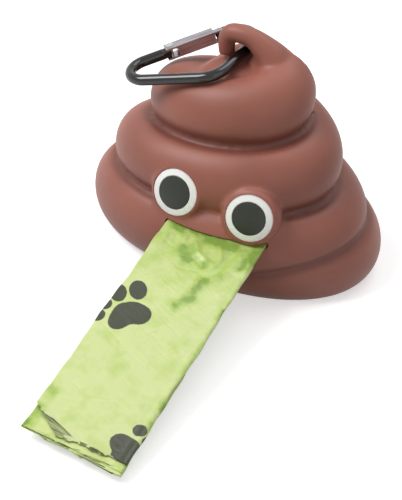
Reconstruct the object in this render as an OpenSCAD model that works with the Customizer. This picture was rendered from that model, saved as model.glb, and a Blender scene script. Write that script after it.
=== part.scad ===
// Waste bag dispenser with a hollow coiled body, a bag roll inside and a snap clip on top.
// Millimetres, +Z up. The body stands on the plane z = 0 and its face looks along -Y.

/* [Coiled body] */
// Outer radius of the coil at each quarter turn, from its buried start up to the crown
tier_out = [44, 49, 57.5, 60, 56, 51.5, 51, 50.5, 48, 44, 39, 37, 34.8, 30.5, 27];
// Height of the middle of the coil at each quarter turn
tier_z = [11.5, 11, 10.3, 9.5, 12.5, 18.5, 22, 26.8, 32, 38.8, 46, 50.3, 54, 60.5, 68.5];
// Thickness radius of the coil
coil_r = 14; // [13:0.1:15]
// How much taller than wide the coil's section is
coil_tall = 1.06; // [1:0.01:1.15]
// Front-to-back size of the body over its width
depth_ratio = 0.76; // [0.74:0.01:0.85]
// Sideways lean of the coil for each millimetre of height
lean_x = -0.0725; // [-0.09:0.005:-0.05]
// Turn of the coil's start about the upright axis
coil_turn = 19; // [10:1:28]
// Wall of the hollow body
wall = 3; // [2.4:0.1:3.6]
// Thickness of the lip around the bottom opening
lip_t = 2.1; // [1.8:0.1:2.6]

/* [Crown and curl] */
// Middle and radius of the filling under the crown
core_top = [-6, 0, 56.5];
core_top_r = 19.5; // [18:0.5:21]
// Middle and radius of the crown that the last turn rises over
crown = [-4.5, 7, 61];
crown_r = 17; // [15:0.5:18]
// Route of the curl's middle, from inside the last turn over the loop and down to its tip
curl_path = [[7.2, 2.6, 68.5], [6.2, 2, 73.5], [3.6, 0.8, 79.9], [-2.8, 0, 84.7],
             [-8.2, -0.5, 85.7], [-12.0, -0.5, 84.9], [-13.4, -0.5, 82], [-12.6, -0.5, 76.5]];
// Thickness radius of the curl at each point of its route
curl_r = [14, 10.8, 6.2, 3.9, 3.5, 3.4, 3.2, 3];

/* [Face] */
// Sideways place of the middle between the eyes
face_x = 2; // [0:0.5:4]
// Distance from that middle to the centre of each eye
eye_gap = 14.5; // [12:0.1:15]
// Distance of the eye centres in front of the upright axis
eye_y = 34.8; // [33:0.1:36]
// Height of the eye centres
eye_z = 35.5; // [33:0.1:37]
// Radius of the white of the eye
eye_r = 8.8; // [7:0.1:9.5]
// Radius of the pupil
pupil_r = 6.1; // [4:0.1:6.3]
// Thickness of the white of the eye
eye_t = 2.6; // [2:0.1:3.2]
// Width of the soft rim around each eye
eye_rim = 1.7; // [1:0.1:2.2]
// How far the eyes look up
eye_up = 15; // [8:1:20]
// How far each eye looks out to its own side
eye_out = 6; // [2:1:10]

/* [Bottom ring and lid] */
// Place of the round opening's middle, sideways
base_x = 5; // [3:0.5:6]
// Place of the round opening's middle, front to back
base_y = 5; // [4:0.5:6]
// Room between the outer corners of the spindle's posts and the bottom ring
post_clear = 1.1; // [0.9:0.1:1.4]
// Wall of the bottom ring
ring_wall = 2.4; // [2.2:0.1:2.6]
// Height of the bottom ring
ring_h = 8; // [7:0.5:10]
// Number of bayonet lugs
lug_n = 3; // [2:1:4]
// Width of each entry slot for the lugs, in degrees
slot_deg = 24; // [20:1:28]
// Turn from open to locked, in degrees
lock_deg = 35; // [25:1:40]
// Thickness of the lid
lid_t = 2.4; // [2.2:0.1:2.6]
// Width of the finger bar across the lid
bar_w = 9; // [7:0.5:12]

/* [Bag roll] */
// Outer radius of the wound bags
roll_r = 12.4; // [11:0.1:12.6]
// Length of the wound bags
roll_len = 54; // [48:0.5:54.5]
// Front-to-back place of the roll's axis
roll_y = 7; // [5:0.5:8]
// Height of the roll's axis
roll_z = 19.2; // [19:0.1:20]
// Inner radius of the cardboard core
core_in = 5; // [4.5:0.1:6]
// Wall of the cardboard core
core_wall = 1; // [0.7:0.1:1.3]
// Radius of the spindle's end journals
journal_r = 2; // [1.8:0.1:2.3]
// Thickness of the two posts that carry the spindle
post_t = 2.6; // [2.2:0.1:2.8]
// Width of the two posts
post_w = 9; // [8:0.5:10]

/* [Pulled bag] */
// Width of the folded bag where it leaves the slot
strip_w = 37; // [30:0.5:39]
// Length of the bag outside the body
strip_len = 104; // [60:1:110]
// Thickness of the folded bag
strip_t = 1; // [0.8:0.1:1.3]
// Slope of the pulled bag below level
strip_slope = 10.8; // [10:0.1:11.5]
// Front-to-back place where the bag meets the outside of the body
slot_y = -38; // [-39:0.5:-37]
// Height of the bag's upper side at that place
slot_z = 24.6; // [24:0.1:25.2]
// Sideways place of the middle of the slot
slot_x = 5.3; // [4:0.1:6]

/* [Snap clip] */
// Radius of the clip's rod
rod_r = 2; // [1.8:0.1:2.1]
// Radius of the rod's middle line at the narrow end
narrow_r = 6.8; // [6.4:0.1:7.2]
// Distance from the narrow end to where the straight back stops
back_end = 28.3; // [26:0.1:32]
// Radius of the bend between the back and the wide end's side
corner_r = 8.8; // [8:0.1:11]
// Angle of that bend
corner_deg = 70; // [60:0.5:75]
// Length of the wide end's straight side
side_len = 15; // [14.5:0.1:15.5]
// Distance along that side to the place where the clip hangs in the loop
hang_along = 11; // [10.5:0.1:11.5]
// Radius of the rod's middle line where it turns back to the gate
wide_r = 8.7; // [7.5:0.1:10]
// Place of the rod where it hangs in the loop under the curl
hang = [-6.4, -0.4, 79.15];
// Turn of the clip's plane: roll about its length, pitch and yaw
clip_pose = [7.5, -17.8, 7.3];
// Distance of the gate's rivet from the end of the narrow bend
pivot_at = 10.6; // [9:0.1:12]
// Outer width of the gate
gate_w = 4.6; // [4.5:0.1:5.2]
// Wall of the gate
gate_wall = 0.7; // [0.6:0.05:0.8]
// Radius of the gate's rivet
rivet_r = 0.8; // [0.7:0.05:0.9]
// Radius of the cross pin in the nose
latch_r = 0.6; // [0.5:0.05:0.7]

/* [Fits] */
// Running fit between a pin and its bore, measured on the radius
run_gap = 0.06; // [0.04:0.01:0.1]
// Gap at a loose fit between two solids
loose_gap = 0.3; // [0.2:0.05:0.4]
// Gap between glued or pressed pieces
seat_gap = 0.02; // [0.01:0.01:0.05]

/* [Hidden] */
$fn = 64;

// ---- coil -------------------------------------------------------------------------------
knot_step = 0.25;
first_turn = -0.5;
last_turn = first_turn + knot_step * (len(tier_out) - 1);
ring_steps = 22;
turn_steps = 34;
lean_y = -0.007;

function clamp_index(values, i) = values[max(0, min(len(values) - 1, i))];
// Smooth curve through evenly spaced values (Catmull-Rom)
function smooth(values, s) =
    let (i = floor(s), f = s - i,
         a = clamp_index(values, i - 1), b = clamp_index(values, i),
         c = clamp_index(values, i + 1), d = clamp_index(values, i + 2))
    0.5 * (2 * b + (c - a) * f + (2 * a - 5 * b + 4 * c - d) * f * f
           + (3 * b - a - 3 * c + d) * f * f * f);
function knot_of(turn) = (turn - first_turn) / knot_step;
function out_at(turn) = smooth(tier_out, knot_of(turn));
function z_at(turn) = smooth(tier_z, knot_of(turn));
// A point of the body from a round plan radius, an angle and a height
function body_point(radius, angle, z) =
    [radius * cos(angle) + lean_x * z, depth_ratio * radius * sin(angle) + lean_y * z, z];
function coil_ring(turn, share = 1) =
    [for (k = [0:ring_steps - 1])
        let (a = -360 * k / ring_steps, r = share * coil_r)
        body_point(out_at(turn) - coil_r + r * cos(a), coil_turn + 360 * turn,
                   z_at(turn) + coil_tall * r * sin(a))];
// Closed skin over a row of rings that all have the same number of points
function skin_faces(rows, steps) = concat(
    [[for (k = [0:steps - 1]) k]],
    [for (i = [0:rows - 2], k = [0:steps - 1], half = [0, 1])
        let (a = i * steps + k, b = i * steps + (k + 1) % steps)
        half == 0 ? [a, a + steps, b] : [b, a + steps, b + steps]],
    [[for (k = [steps - 1:-1:0]) (rows - 1) * steps + k]]);

module skin(rings) {
    steps = len(rings[0]);
    polyhedron([for (ring = rings) each ring], skin_faces(len(rings), steps), convexity = 8);
}

// The coil in stretches shorter than one turn, so that no stretch meets itself. Each stretch
// tapers into its neighbours at both ends.
module coil() {
    stretch = 0.875;
    taper = 0.012;
    count = ceil(stretch * turn_steps);
    for (s = [0:3]) {
        from = first_turn + s * stretch;
        skin(concat([coil_ring(from - taper, 0.8)],
                    [for (i = [0:count]) coil_ring(from + stretch * i / count)],
                    [coil_ring(from + stretch + taper, 0.8)]));
    }
}

// Solid through a row of [height, plan radius] ovals that lean as the coil does
module oval(level) {
    translate([lean_x * level[0], lean_y * level[0], level[0]]) scale([1, depth_ratio, 1])
        cylinder(r = level[1], h = 0.5, $fn = 36);
}
module oval_stack(levels) {
    for (i = [0:len(levels) - 2]) hull() {
        oval(levels[i]);
        oval(levels[i + 1]);
    }
}
// Fills the middle of the coil
filler = [[0, 36], [10, 38], [20, 37], [30, 34], [38, 30], [46, 25], [54, 20], [62, 13]];
// Height and plan radius of the creases between the turns
creases = [[0, 46], [20, 46], [30, 43], [38, 38], [46, 33], [54, 28], [62, 21]];
function hollow_levels() = [for (c = creases) [max(c[0], lip_z + lip_t), c[1] - wall]];

// ---- curl -------------------------------------------------------------------------------
curl_steps = 20;
curl_rows = 28;
function curl_mid(s) = smooth(curl_path, s);
function curl_dir(s) = let (d = curl_mid(s + 0.02) - curl_mid(s - 0.02)) d / norm(d);
function curl_ring(s) =
    let (d = curl_dir(s), side = [-d[2], 0, d[0]] / norm([-d[2], 0, d[0]]), up = cross(d, side),
         r = smooth(curl_r, s))
    [for (k = [0:curl_steps - 1])
        let (a = 360 * k / curl_steps) curl_mid(s) + r * (cos(a) * side + sin(a) * up)];

module curl() {
    last = len(curl_path) - 1;
    skin([for (i = [0:curl_rows]) curl_ring(last * i / curl_rows)]);
}

// ---- bottom ring ------------------------------------------------------------------------
floor_z = 0.3;
flange_t = 1;
roll_side = 0.4;
post_in = roll_len / 2 + roll_side;
ring_in = norm([post_in + post_t, post_w / 2 + abs(roll_y - base_y)]) + post_clear;
lip_z = floor_z + flange_t + 0.1;
ring_top = floor_z + ring_h;
barrel_r = ring_in + ring_wall;
lower_flange_r = barrel_r + 1.2;
upper_flange_r = barrel_r + 2.4;
upper_flange_z = lip_z + lip_t + 0.1;
slot_depth = 1.4;
lug_gap = 0.2;
lid_z = floor_z + 0.2;
lid_top = lid_z + lid_t;
lug_t = 1.2;
lug_z = lid_z + 1;
lug_r = ring_in + slot_depth - lug_gap;
lid_r = ring_in - loose_gap;
lug_deg = slot_deg - 1.2;
groove_z = lug_z - lug_gap;
groove_h = lug_t + 2 * lug_gap;
cradle_z = lid_top + lug_gap;
cradle_t = 1.4;
first_lug = 90;

module at_base() { translate([base_x, base_y, 0]) children(); }

// Ring-shaped sector between two radii, from one angle to another
module sector(r_in, r_out, from, to, z, h) {
    translate([0, 0, z]) rotate([0, 0, from])
        rotate_extrude(angle = to - from) translate([r_in, 0]) square([r_out - r_in, h]);
}

function lug_angle(i) = first_lug + 360 * i / lug_n;

module base_ring() {
    color("#5f3d36") at_base() difference() {
        union() {
            translate([0, 0, floor_z]) cylinder(r = barrel_r, h = ring_h);
            translate([0, 0, floor_z]) cylinder(r = lower_flange_r, h = flange_t);
            translate([0, 0, upper_flange_z]) cylinder(r = upper_flange_r, h = flange_t);
        }
        translate([0, 0, floor_z - 1]) cylinder(r = ring_in, h = ring_h + 2);
        for (i = [0:lug_n - 1]) {
            sector(ring_in - 1, ring_in + slot_depth, lug_angle(i) - slot_deg / 2,
                   lug_angle(i) + slot_deg / 2, floor_z - 1, ring_h + 2);
            sector(ring_in - 1, ring_in + slot_depth, lug_angle(i), lug_angle(i) + slot_deg / 2
                   + lock_deg, groove_z, groove_h);
        }
    }
}

// Disc with lugs around its rim, for the lid and for the plate above it
module lugged_disc(z, t, lug_from, lug_h) {
    translate([0, 0, z]) cylinder(r = lid_r, h = t);
    for (i = [0:lug_n - 1])
        sector(lid_r - 2, lug_r, lug_angle(i) - lug_deg / 2, lug_angle(i) + lug_deg / 2,
               lug_from, lug_h);
}

// ---- lid and its pivot screw ------------------------------------------------------------
screw_r = 2;
screw_head_r = 4;
screw_head_t = 1;
grip_r = 25;
grip_depth = 0.9;
rib_n = 7;

module base_lid() {
    color("#6b453d") at_base() difference() {
        lugged_disc(lid_z, lid_t, lug_z, lug_t);
        // Two finger recesses leave the bar between them
        difference() {
            translate([0, 0, lid_z - 1]) cylinder(r = grip_r, h = grip_depth + 1);
            translate([-bar_w / 2, -grip_r - 1, lid_z - 2]) cube([bar_w, 2 * grip_r + 2, 4]);
        }
        // Fine grip lines across the bar
        for (i = [-rib_n:rib_n]) if (abs(i) > 1)
            translate([-bar_w / 2 - 0.1, 3 * i - 0.3, lid_z - 0.6])
                cube([bar_w + 0.2, 0.6, 1]);
        translate([0, 0, lid_z - 1]) cylinder(r = screw_r + run_gap, h = lid_t + 2);
        translate([0, 0, lid_z - 1])
            cylinder(r = screw_head_r + loose_gap, h = 1 + screw_head_t + 0.1);
    }
}

module lid_pivot_screw() {
    color("#b9bcc0") at_base() difference() {
        union() {
            translate([0, 0, lid_z]) cylinder(r = screw_head_r, h = screw_head_t);
            translate([0, 0, lid_z + 0.5]) cylinder(r = screw_r, h = screw_tip - lid_z - 0.5);
        }
        for (a = [0, 90]) translate([0, 0, lid_z]) rotate([0, 0, a])
            cube([4, 0.8, 1.2], center = true);
    }
}

// ---- cradle, spindle and roll -----------------------------------------------------------
boss_r = 4;
boss_h = 2.2;
screw_tip = cradle_z + boss_h - 0.4;
post_top = roll_z + 4.2;
snap_w = 2 * journal_r - 0.6;
axle_r = core_in - run_gap;
bore_depth = post_t + 0.1;

module at_roll() { translate([base_x, roll_y, roll_z]) children(); }
module along_x(r, from, to) {
    translate([from, 0, 0]) rotate([0, 90, 0]) cylinder(r = r, h = to - from);
}

module roll_cradle() {
    color("#8d8f92") difference() {
        union() {
            at_base() {
                lugged_disc(cradle_z, cradle_t, cradle_z, cradle_t);
                translate([0, 0, cradle_z]) cylinder(r = boss_r, h = boss_h);
            }
            for (side = [-1, 1]) at_roll() {
                height = roll_z - cradle_z;
                translate([side * (post_in + post_t / 2), 0, -height / 2])
                    cube([post_t, post_w, height], center = true);
                translate([side * (post_in + post_t / 2), 0, 0]) rotate([0, 90, 0])
                    cylinder(r = post_w / 2, h = post_t, center = true);
            }
        }
        at_roll() {
            along_x(journal_r + run_gap, -ring_in, ring_in);
            translate([-ring_in, -snap_w / 2, 0]) cube([2 * ring_in, snap_w, post_w]);
        }
        at_base() translate([0, 0, cradle_z - 1])
            cylinder(r = screw_r + seat_gap, h = screw_tip - cradle_z + 1.1);
    }
}

module spindle() {
    color("#d9d6cf") at_roll() {
        along_x(axle_r, -post_in + loose_gap, post_in - loose_gap);
        for (side = [-1, 1]) along_x(journal_r, side > 0 ? 0 : -post_in - post_t,
                                     side > 0 ? post_in + post_t : 0);
    }
}

module roll_core() {
    color("#b08d62") at_roll() difference() {
        along_x(core_in + core_wall, -roll_len / 2, roll_len / 2);
        along_x(core_in, -roll_len, roll_len);
    }
}

module bag_roll() {
    color("#b9cf6a") at_roll() difference() {
        along_x(roll_r, -roll_len / 2, roll_len / 2);
        along_x(core_in + core_wall + seat_gap, -roll_len, roll_len);
    }
}

// ---- pulled bag and its slot ------------------------------------------------------------
// The folded bag is a flat sheet in a plane that slopes down towards the front. It leaves
// the top of the roll at the full width of the roll and narrows to the width of the slot.
tail = (roll_y - slot_y) / cos(strip_slope) - 3;
tail_w = roll_len - 4;
pull_len = 18;
slot_h = strip_t + 1.2;
slot_reach = 17;
neck = slot_reach + pull_len + 1;

module at_slot() {
    translate([slot_x, slot_y, slot_z]) rotate([strip_slope, 0, 0]) children();
}

module bag_strip() {
    color("#d3e58c") at_slot() translate([0, 0, -strip_t]) linear_extrude(strip_t)
        polygon([[-strip_w / 2, -strip_len], [strip_w / 2, -strip_len],
                 [strip_w / 2, neck], [tail_w / 2, tail], [-tail_w / 2, tail],
                 [-strip_w / 2, neck]]);
}

module slot_cut() {
    at_slot() translate([0, 0, -strip_t - 0.5]) {
        width = strip_w + 2 * loose_gap + 0.4;
        translate([-width / 2, -slot_reach, 0]) cube([width, 2 * slot_reach, slot_h]);
    }
}

// ---- eyes -------------------------------------------------------------------------------
eye_sink = 1.7;
boss_deep = 13;
rim_round = 1.6;
pupil_t = 1.1;
pupil_sink = 0.6;
dome_r = 30;

module at_eye(side) {
    translate([face_x + side * eye_gap, -eye_y, eye_z]) rotate([90 - eye_up, 0, side * eye_out])
        children();
}

module eye_boss(side) {
    r = eye_r + eye_rim;
    at_eye(side) translate([0, 0, -boss_deep]) rotate_extrude($fn = 48) {
        square([r - rim_round, boss_deep]);
        square([r, boss_deep - rim_round]);
        translate([r - rim_round, boss_deep - rim_round]) circle(r = rim_round, $fn = 16);
    }
}

// A disc with a slightly domed front, its back at z = 0
module domed_disc(r, t) {
    arc = [for (k = [0:6]) let (x = r * (1 - k / 6)) [x, t - dome_r + sqrt(dome_r * dome_r - x * x)]];
    rotate_extrude() polygon(concat([[0, 0], [r, 0]], arc));
}

module eye_white(side) {
    color("#f5f2ea") at_eye(side) translate([0, 0, -eye_sink]) difference() {
        domed_disc(eye_r, eye_t);
        translate([0, 0, eye_t - pupil_sink - 0.4]) cylinder(r = pupil_r + seat_gap, h = 3);
    }
}

module pupil(side) {
    color("#2c3328") at_eye(side)
        translate([0, 0, eye_t - eye_sink - pupil_sink - 0.4 + seat_gap])
            domed_disc(pupil_r, pupil_t);
}

module eye_white_left() { eye_white(-1); }
module eye_white_right() { eye_white(1); }
module pupil_left() { pupil(-1); }
module pupil_right() { pupil(1); }

// ---- shell ------------------------------------------------------------------------------
module shell() {
    color("#86534a") difference() {
        union() {
            coil();
            oval_stack(filler);
            translate(core_top) sphere(r = core_top_r, $fn = 36);
            translate(crown) sphere(r = crown_r, $fn = 36);
            curl();
            for (side = [-1, 1]) eye_boss(side);
        }
        // Cut flat to stand on
        translate([-100, -100, -50]) cube([200, 200, 50]);
        // Hollow above the lip
        oval_stack(hollow_levels());
        // Opening in the bottom, with a recess for each flange of the ring
        at_base() {
            translate([0, 0, -1]) cylinder(r = barrel_r + 2 * seat_gap, h = 9, $fn = 120);
            translate([0, 0, -1]) cylinder(r = lower_flange_r + 0.1, h = lip_z + 1, $fn = 120);
            translate([0, 0, lip_z + lip_t])
                cylinder(r = upper_flange_r + 0.15, h = 8, $fn = 120);
        }
        slot_cut();
        for (side = [-1, 1]) at_eye(side) translate([0, 0, -eye_sink - seat_gap])
            cylinder(r = eye_r + seat_gap, h = 10);
    }
}

// ---- snap clip --------------------------------------------------------------------------
// The clip lies in its own plane: p along its back, q across it, n square to both.
narrow_c = [narrow_r, narrow_r];
corner_c = [back_end, corner_r];
side_dir = [cos(corner_deg), sin(corner_deg)];
side_from = corner_c + corner_r * [sin(corner_deg), -cos(corner_deg)];
wide_c = side_from + side_len * side_dir + wide_r * [-sin(corner_deg), cos(corner_deg)];
hang_at = side_from + hang_along * side_dir;
// The gate's line touches the narrow and the wide bend from outside
across = norm(wide_c - narrow_c);
gate_deg = atan2(wide_c[1] - narrow_r, wide_c[0] - narrow_r) + asin((wide_r - narrow_r) / across);
gate_dir = [cos(gate_deg), sin(gate_deg)];
gate_line = narrow_c + narrow_r * [-sin(gate_deg), cos(gate_deg)];
pivot = gate_line + pivot_at * gate_dir;
gate_len = sqrt(across * across - (wide_r - narrow_r) * (wide_r - narrow_r)) - pivot_at;
gate_inside = gate_w - 2 * gate_wall;
tongue_t = gate_inside - 0.2;
tongue_r = 1.7;
cam_r = 1.9;
gate_h = 4.2;
gate_back = 1.9;
cheek_len = 2.6;
web_end = gate_len - 3.6;
latch_at = gate_len - 1.6;

module at_clip() {
    translate(hang) rotate(clip_pose) translate([-hang_at[0], -hang_at[1], 0]) children();
}
module at_gate() { translate([pivot[0], pivot[1], 0]) rotate([0, 0, gate_deg]) children(); }

// Bent rod: part of a ring about a centre, from one angle to another
module bend(c, r, from, to) {
    translate([c[0], c[1], 0]) rotate([0, 0, from])
        rotate_extrude(angle = to - from) translate([r, 0]) circle(r = rod_r, $fn = 32);
}
// Straight rod from a point along a direction, a hair thinner than the bends and let into
// their ends
rod_step = 0.01;
rod_lap = 0.25;
module straight(from, deg, length) {
    translate([from[0], from[1], 0]) rotate([0, 0, deg]) rotate([0, 90, 0])
        translate([0, 0, -rod_lap])
            cylinder(r = rod_r - rod_step, h = length + 2 * rod_lap, $fn = 32);
}
// Flattened rod between two places on the gate's line
module tongue(from, to) {
    at_gate() translate([from, -tongue_r, -tongue_t / 2])
        cube([to - from, 2 * tongue_r, tongue_t]);
}

module clip_hook() {
    color("#15181a") at_clip() difference() {
        union() {
            bend(narrow_c, narrow_r, 90 + gate_deg, 270);
            straight([narrow_r, 0], 0, back_end - narrow_r);
            bend(corner_c, corner_r, -90, corner_deg - 90);
            straight(side_from, corner_deg, side_len);
            bend(wide_c, wide_r, corner_deg - 90, 90 + gate_deg);
            straight(gate_line, gate_deg, pivot_at - gate_back - 1.3);
            tongue(-gate_back - 2.2, 0);
            translate([pivot[0], pivot[1], -tongue_t / 2]) cylinder(r = cam_r, h = tongue_t);
            tongue(latch_at - 1.4, gate_len + 0.6);
        }
        translate([pivot[0], pivot[1], -5]) cylinder(r = rivet_r + run_gap, h = 10);
        at_gate() translate([latch_at, 0, -5]) cylinder(r = latch_r + seat_gap, h = 10);
    }
}

// Folded tube, open at both ends
module clip_gate() {
    color("#b5b0b4") at_clip() at_gate() difference() {
        translate([-gate_back, -gate_h / 2, -gate_w / 2])
            cube([gate_len + gate_back - 0.3, gate_h, gate_w]);
        // The inside stops at a cross wall that carries the spring
        for (part = [[cheek_len - 0.1, stop_at], [stop_at + stop_t, web_end + 0.1]])
            translate([part[0], -gate_h / 2 + gate_wall, -gate_inside / 2])
                cube([part[1] - part[0], gate_h - 2 * gate_wall, gate_inside]);
        // Only two cheeks are left at each end, so that the hook's flattened ends have room
        translate([-gate_back - 1, -gate_h, -gate_inside / 2])
            cube([gate_back + 1 + cheek_len, 2 * gate_h, gate_inside]);
        translate([web_end, -gate_h, -gate_inside / 2]) cube([10, 2 * gate_h, gate_inside]);
        translate([web_end, 0, -gate_w]) cube([10, gate_h, 2 * gate_w]);
        // Notches that drop over the cross pin
        translate([latch_at, 0, -gate_w]) cylinder(r = latch_r + 0.25, h = 2 * gate_w);
        translate([latch_at - latch_r - 0.25, 0, -gate_w])
            cube([2 * latch_r + 0.5, gate_h, 2 * gate_w]);
        translate([0, 0, -gate_w]) cylinder(r = rivet_r + seat_gap, h = 2 * gate_w);
    }
}

module gate_rivet() {
    head_t = 0.5;
    color("#c9c9cc") at_clip() at_gate() {
        translate([0, 0, -gate_w / 2]) cylinder(r = rivet_r, h = gate_w);
        for (side = [-1, 1]) translate([0, 0, side * (gate_w + head_t) / 2])
            cylinder(r = 1.4, h = head_t, center = true);
    }
}

module latch_pin() {
    color("#c9c9cc") at_clip() at_gate() translate([latch_at, 0, 0])
        cylinder(r = latch_r, h = gate_w, center = true);
}

// Plunger that the spring presses against the hook's cam
plunger_at = cam_r + 0.15;
plunger_r = 1.3;
plunger_len = 3;
spring_r = 1.05;
wire_r = 0.22;
spring_turns = 7;
stop_t = 0.8;
stop_at = plunger_at + plunger_len + 8;
spring_from = plunger_at + plunger_len + 0.1 + wire_r;
spring_to = stop_at - 0.1 - wire_r;

module gate_plunger() {
    color("#9a9ca0") at_clip() at_gate() translate([plunger_at, 0, 0]) rotate([0, 90, 0]) {
        cylinder(r = plunger_r, h = plunger_len);
    }
}

function spring_mid(s) = [spring_from + (spring_to - spring_from) * s / spring_turns,
                          spring_r * cos(360 * s), spring_r * sin(360 * s)];
function spring_ring(s) =
    let (d = spring_mid(s + 0.001) - spring_mid(s - 0.001), t = d / norm(d),
         out = [0, cos(360 * s), sin(360 * s)], up = cross(t, out))
    [for (k = [0:5]) spring_mid(s) + wire_r * (cos(60 * k) * out + sin(60 * k) * up)];
spring_points = [for (i = [0:8 * spring_turns]) spring_mid(i / 8)];
spring_gap = min([for (i = [0:8 * spring_turns - 8])
    norm(spring_points[i + 8] - spring_points[i])]) - 2 * wire_r;
echo(spring_gap = spring_gap);

module gate_spring() {
    color("#c9c9cc") at_clip() at_gate()
        skin([for (i = [0:8 * spring_turns]) spring_ring(i / 8)]);
}

shell();
eye_white_left();
eye_white_right();
pupil_left();
pupil_right();
base_ring();
base_lid();
roll_cradle();
lid_pivot_screw();
spindle();
roll_core();
bag_roll();
bag_strip();
clip_hook();
clip_gate();
gate_rivet();
latch_pin();
gate_plunger();
gate_spring();
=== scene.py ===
# %% [markdown]
# # A waste bag dispenser with a coiled body
#
# The real object is a hollow, soft vinyl body in the shape of a coil, with two eyes, a slot that
# lets out folded bags and a snap clip that hangs in a loop at the top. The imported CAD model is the
# frame: it says where each piece is and how it moves. This script gives each piece its looks.

import bpy
import numpy as np
from mathutils import Matrix


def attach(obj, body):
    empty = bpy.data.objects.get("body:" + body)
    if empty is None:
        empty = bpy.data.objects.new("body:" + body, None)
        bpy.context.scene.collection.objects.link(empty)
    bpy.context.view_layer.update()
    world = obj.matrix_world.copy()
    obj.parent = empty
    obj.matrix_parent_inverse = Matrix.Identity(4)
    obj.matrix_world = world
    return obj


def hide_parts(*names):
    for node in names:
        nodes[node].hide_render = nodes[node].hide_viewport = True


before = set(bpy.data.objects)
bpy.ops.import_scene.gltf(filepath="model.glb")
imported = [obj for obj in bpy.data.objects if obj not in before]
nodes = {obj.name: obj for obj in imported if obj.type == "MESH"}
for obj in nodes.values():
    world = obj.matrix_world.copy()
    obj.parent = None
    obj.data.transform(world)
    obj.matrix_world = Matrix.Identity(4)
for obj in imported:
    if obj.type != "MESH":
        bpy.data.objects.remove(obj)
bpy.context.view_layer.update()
MM = 0.001

# %% [markdown]
# ## The camera
#
# The photograph looks down on the object from its front right, and was taken a little askew. The
# camera's place is the object's middle plus a distance along the line of sight. Its axes are the
# image's right, the image's up and that line. The object lies off the picture's middle, which the
# lens shift repeats.

# %% Camera
AIM = np.array([0, 0, 6.5]) * MM
AZIMUTH, ELEVATION, TILT = np.radians([19.0, 34.5, 8.5])
DISTANCE = 590 * MM
SENSOR_MM, LENS_MM = 36, 111.3
SHIFT_X, SHIFT_Y = -0.0697, -0.0537


def stand(thing, x, y, z, place):
    """Puts a camera or a lamp at its place. Its matrix holds its own axes and its place as columns,
    and it looks along its own -z."""
    matrix = np.eye(4)
    matrix[:3] = np.stack([x, y, z, place], 1)
    thing.matrix_world = Matrix(matrix.tolist())


back = np.array([np.sin(AZIMUTH) * np.cos(ELEVATION), -np.cos(AZIMUTH) * np.cos(ELEVATION),
                 np.sin(ELEVATION)])
right = np.array([np.cos(AZIMUTH), np.sin(AZIMUTH), 0])
up = np.cross(back, right)
camera_data = bpy.data.cameras.new("photo_camera")
camera_data.sensor_width = SENSOR_MM
camera_data.lens = LENS_MM
camera_data.shift_x = SHIFT_X
camera_data.shift_y = SHIFT_Y
camera = bpy.data.objects.new("photo_camera", camera_data)
bpy.context.scene.collection.objects.link(camera)
stand(camera, np.cos(TILT) * right + np.sin(TILT) * up, -np.sin(TILT) * right + np.cos(TILT) * up,
      back, AIM + DISTANCE * back)
bpy.context.scene.camera = camera
print("camera at", camera.location)

# %% [markdown]
# ## Surfaces from numbers
#
# Every new piece is a grid of points, worked out as one numpy array. `skin` turns such a grid into
# a closed mesh: neighbouring points make quads, each row closes into a loop, and the two end rows
# are closed by fans or joined to each other, so no hole is left.

# %% A closed skin over rows of points
def link_piece(name, mesh, smooth=True):
    """A new object at the origin that shows the mesh, shaded smooth or flat."""
    piece = bpy.data.objects.new(name, mesh)
    bpy.context.scene.collection.objects.link(piece)
    mesh.polygons.foreach_set("use_smooth", np.full(len(mesh.polygons), smooth))
    return piece


def volume_of(points, faces):
    """The volume under the faces: a sixth of the sum of a . (b x c) over the triangles that each
    face is split into. It is positive where the faces point outwards."""
    corner = [points[faces[:, k]] for k in range(faces.shape[1])]
    return sum(np.sum(corner[0] * np.cross(corner[k], corner[k + 1])) for k in range(1, len(corner) - 1)) / 6


def skin_parts(rows, ring):
    """Points and faces of a closed skin. rows has the shape (row, point of a loop, xyz), in metres.
    Quad (i, j) joins the points j and j + 1 of the rows i and i + 1. In a ring the last row joins
    the first. Otherwise each end is a fan of triangles to the end row's mean point. Where the
    skin's volume comes out negative, its faces are turned."""
    count, steps = rows.shape[:2]
    i, j = np.meshgrid(np.arange(count if ring else count - 1), np.arange(steps), indexing="ij")
    row, next_row, k = i * steps, (i + 1) % count * steps, (j + 1) % steps
    quads = np.stack([row + j, row + k, next_row + k, next_row + j], -1).reshape(-1, 4)
    points = rows.reshape(-1, 3)
    fans = np.empty((0, 3), int)
    if not ring:
        loop, top = np.arange(steps), (count - 1) * steps
        turn = (loop + 1) % steps
        fans = np.vstack([np.stack([np.full(steps, len(points)), turn, loop], -1),
                          np.stack([np.full(steps, len(points) + 1), top + loop, top + turn], -1)])
        points = np.vstack([points, rows[0].mean(0), rows[-1].mean(0)])
    if volume_of(points, quads) + volume_of(points, fans) < 0:
        quads, fans = quads[:, ::-1], fans[:, ::-1]
    return points, quads.tolist() + fans.tolist()


def skin(name, *grids, ring=False):
    """One mesh that holds a closed skin over each of the grids."""
    points, faces, start = [], [], 0
    for rows in grids:
        p, f = skin_parts(rows, ring)
        faces += [[corner + start for corner in face] for face in f]
        points.append(p)
        start += len(p)
    mesh = bpy.data.meshes.new(name)
    mesh.from_pydata(np.vstack(points), [], faces)
    mesh.update()
    return mesh


# %% [markdown]
# A turned piece, such as a pupil, is a profile of (radius, height) pairs carried round an axis.
# `placed` moves points from a piece's own frame to its place on the object.

# %% Turned pieces and places
def turned(profile, steps=96):
    """Rows of a turned surface: row i is the circle of radius profile[i, 0] at height profile[i, 1]."""
    angle = np.linspace(0, 2 * np.pi, steps, endpoint=False)
    radius, height = profile[:, :1], profile[:, 1:]
    return np.stack([radius * np.cos(angle), radius * np.sin(angle), height + 0 * angle], -1)


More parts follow.
